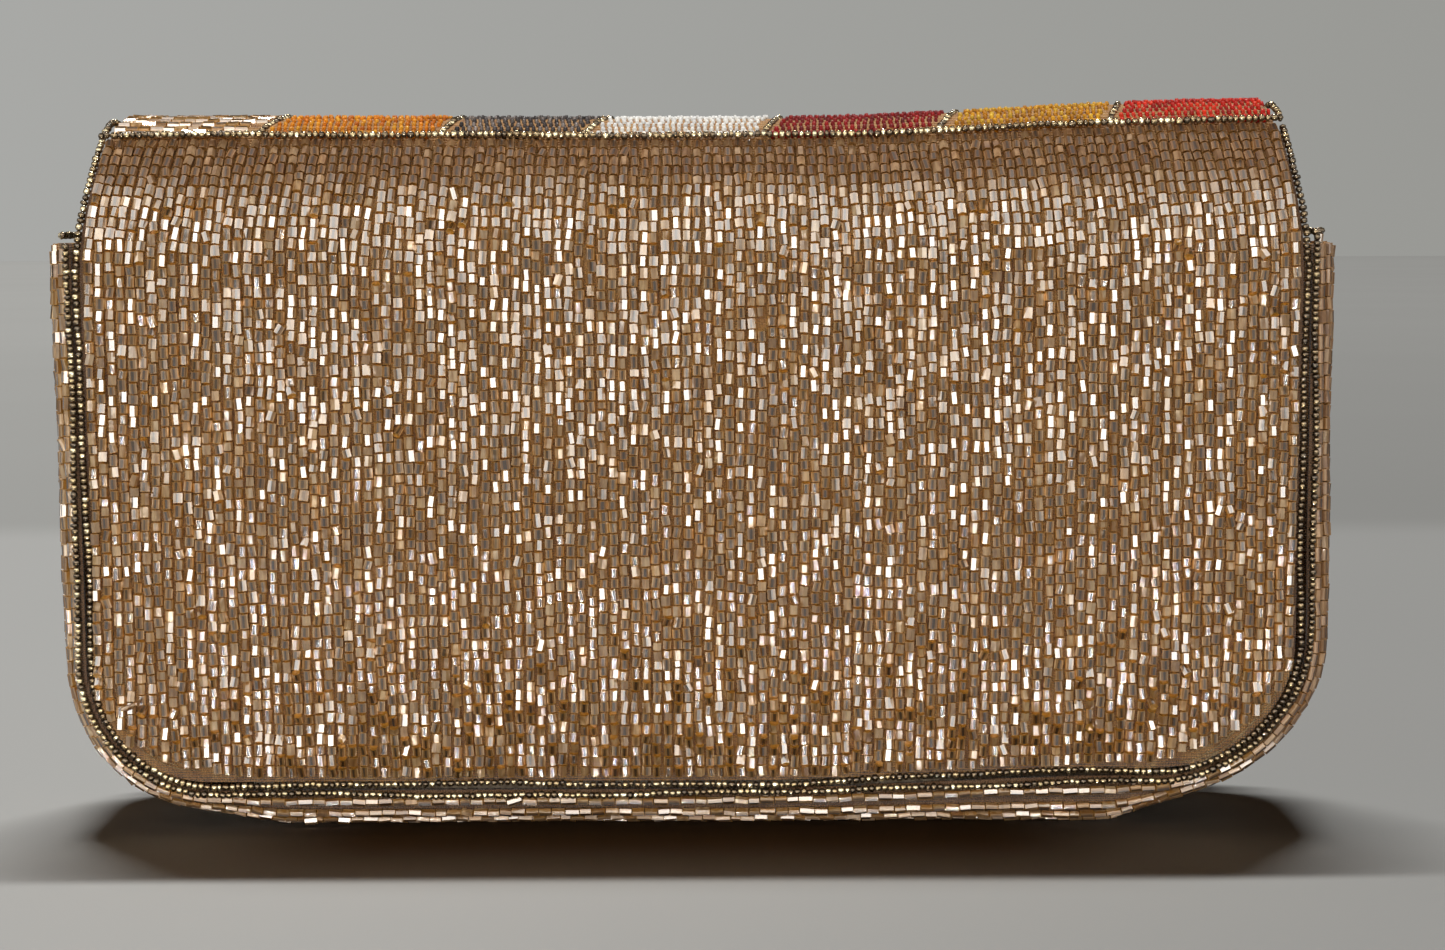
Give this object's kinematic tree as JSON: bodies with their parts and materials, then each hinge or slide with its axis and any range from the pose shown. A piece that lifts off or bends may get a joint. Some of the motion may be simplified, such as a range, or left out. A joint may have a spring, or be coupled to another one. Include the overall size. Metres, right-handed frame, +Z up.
{
  "type": "beaded shoulder bag",
  "caption": "Flat evening bag covered in columns of glass tube beads, with a patterned flap over the top, seed-bead strings on its seams, a satin lining, a snap and rings for a strap.",
  "frame": {"origin": "on the surface that the bag stands on, under the middle of its box", "axes": "+X along the bag's length, towards the right of the pictured back; -Y out of the pictured back panel and +Y out of the flap's face; +Z up"},
  "size_m": [0.2532, 0.0491, 0.1426],
  "materials": {
    "champagne_beads": "transparent pinkish champagne two-cut tube beads on an orange-brown ground",
    "ground_cloth": "orange-brown woven cloth under the beads",
    "seed_beads": "silver-lined grey-bronze seed beads",
    "satin": "beige satin",
    "stiffener_board": "plain card",
    "nickel_plate": "worn nickel plate",
    "blush_beads": "pale pink tube beads",
    "orange_beads": "orange tube beads",
    "slate_beads": "dark grey metallic tube beads",
    "white_beads": "white opaque tube beads",
    "crimson_beads": "dark red tube beads",
    "amber_beads": "amber tube beads",
    "scarlet_beads": "bright red tube beads"
  },
  "bodies": {
    "bag": {"back_panel": "champagne_beads", "back_stiffener": "stiffener_board", "back_facing": "satin", "front_panel": "champagne_beads", "front_stiffener": "stiffener_board", "gusset": "champagne_beads", "bottom_board": "stiffener_board", "lining_bag": "satin", "slip_pocket": "satin", "back_edging": "seed_beads", "front_edging": "seed_beads", "gusset_edging": "seed_beads", "fold_edging": "seed_beads", "snap_socket": "nickel_plate", "snap_socket_washer": "nickel_plate", "ring_tab_left": "satin", "ring_tab_right": "satin"},
    "flap": {"flap_cloth": "ground_cloth", "flap_stiffener": "stiffener_board", "flap_lining": "satin", "flap_field_blush": "blush_beads", "flap_field_orange": "orange_beads", "flap_field_slate": "slate_beads", "flap_field_white": "white_beads", "flap_field_crimson": "crimson_beads", "flap_field_amber": "amber_beads", "flap_field_scarlet": "scarlet_beads", "field_outline_1": "seed_beads", "field_outline_2": "seed_beads", "field_outline_3": "seed_beads", "field_outline_4": "seed_beads", "field_outline_5": "seed_beads", "field_outline_6": "seed_beads", "flap_edging": "seed_beads", "snap_stud": "nickel_plate", "snap_stud_washer": "nickel_plate"},
    "ring_left": {"strap_ring_left": "nickel_plate"},
    "ring_right": {"strap_ring_right": "nickel_plate"}
  },
  "joints": [
    {"name": "flap_hinge", "type": "hinge", "parent": "bag", "child": "flap", "pos_m": [0, -0.01151, 0.13916], "axis": [1, 0, 0], "range_deg": [0, 170]},
    {"name": "ring_swing_left", "type": "hinge", "parent": "bag", "child": "ring_left", "pos_m": [-0.1134, -0.0025, 0.0946], "axis": [0, -1, 0], "range_deg": [0, 150]},
    {"name": "ring_swing_right", "type": "hinge", "parent": "bag", "child": "ring_right", "pos_m": [0.1134, -0.0025, 0.0946], "axis": [0, 1, 0], "range_deg": [0, 150]}
  ]
}
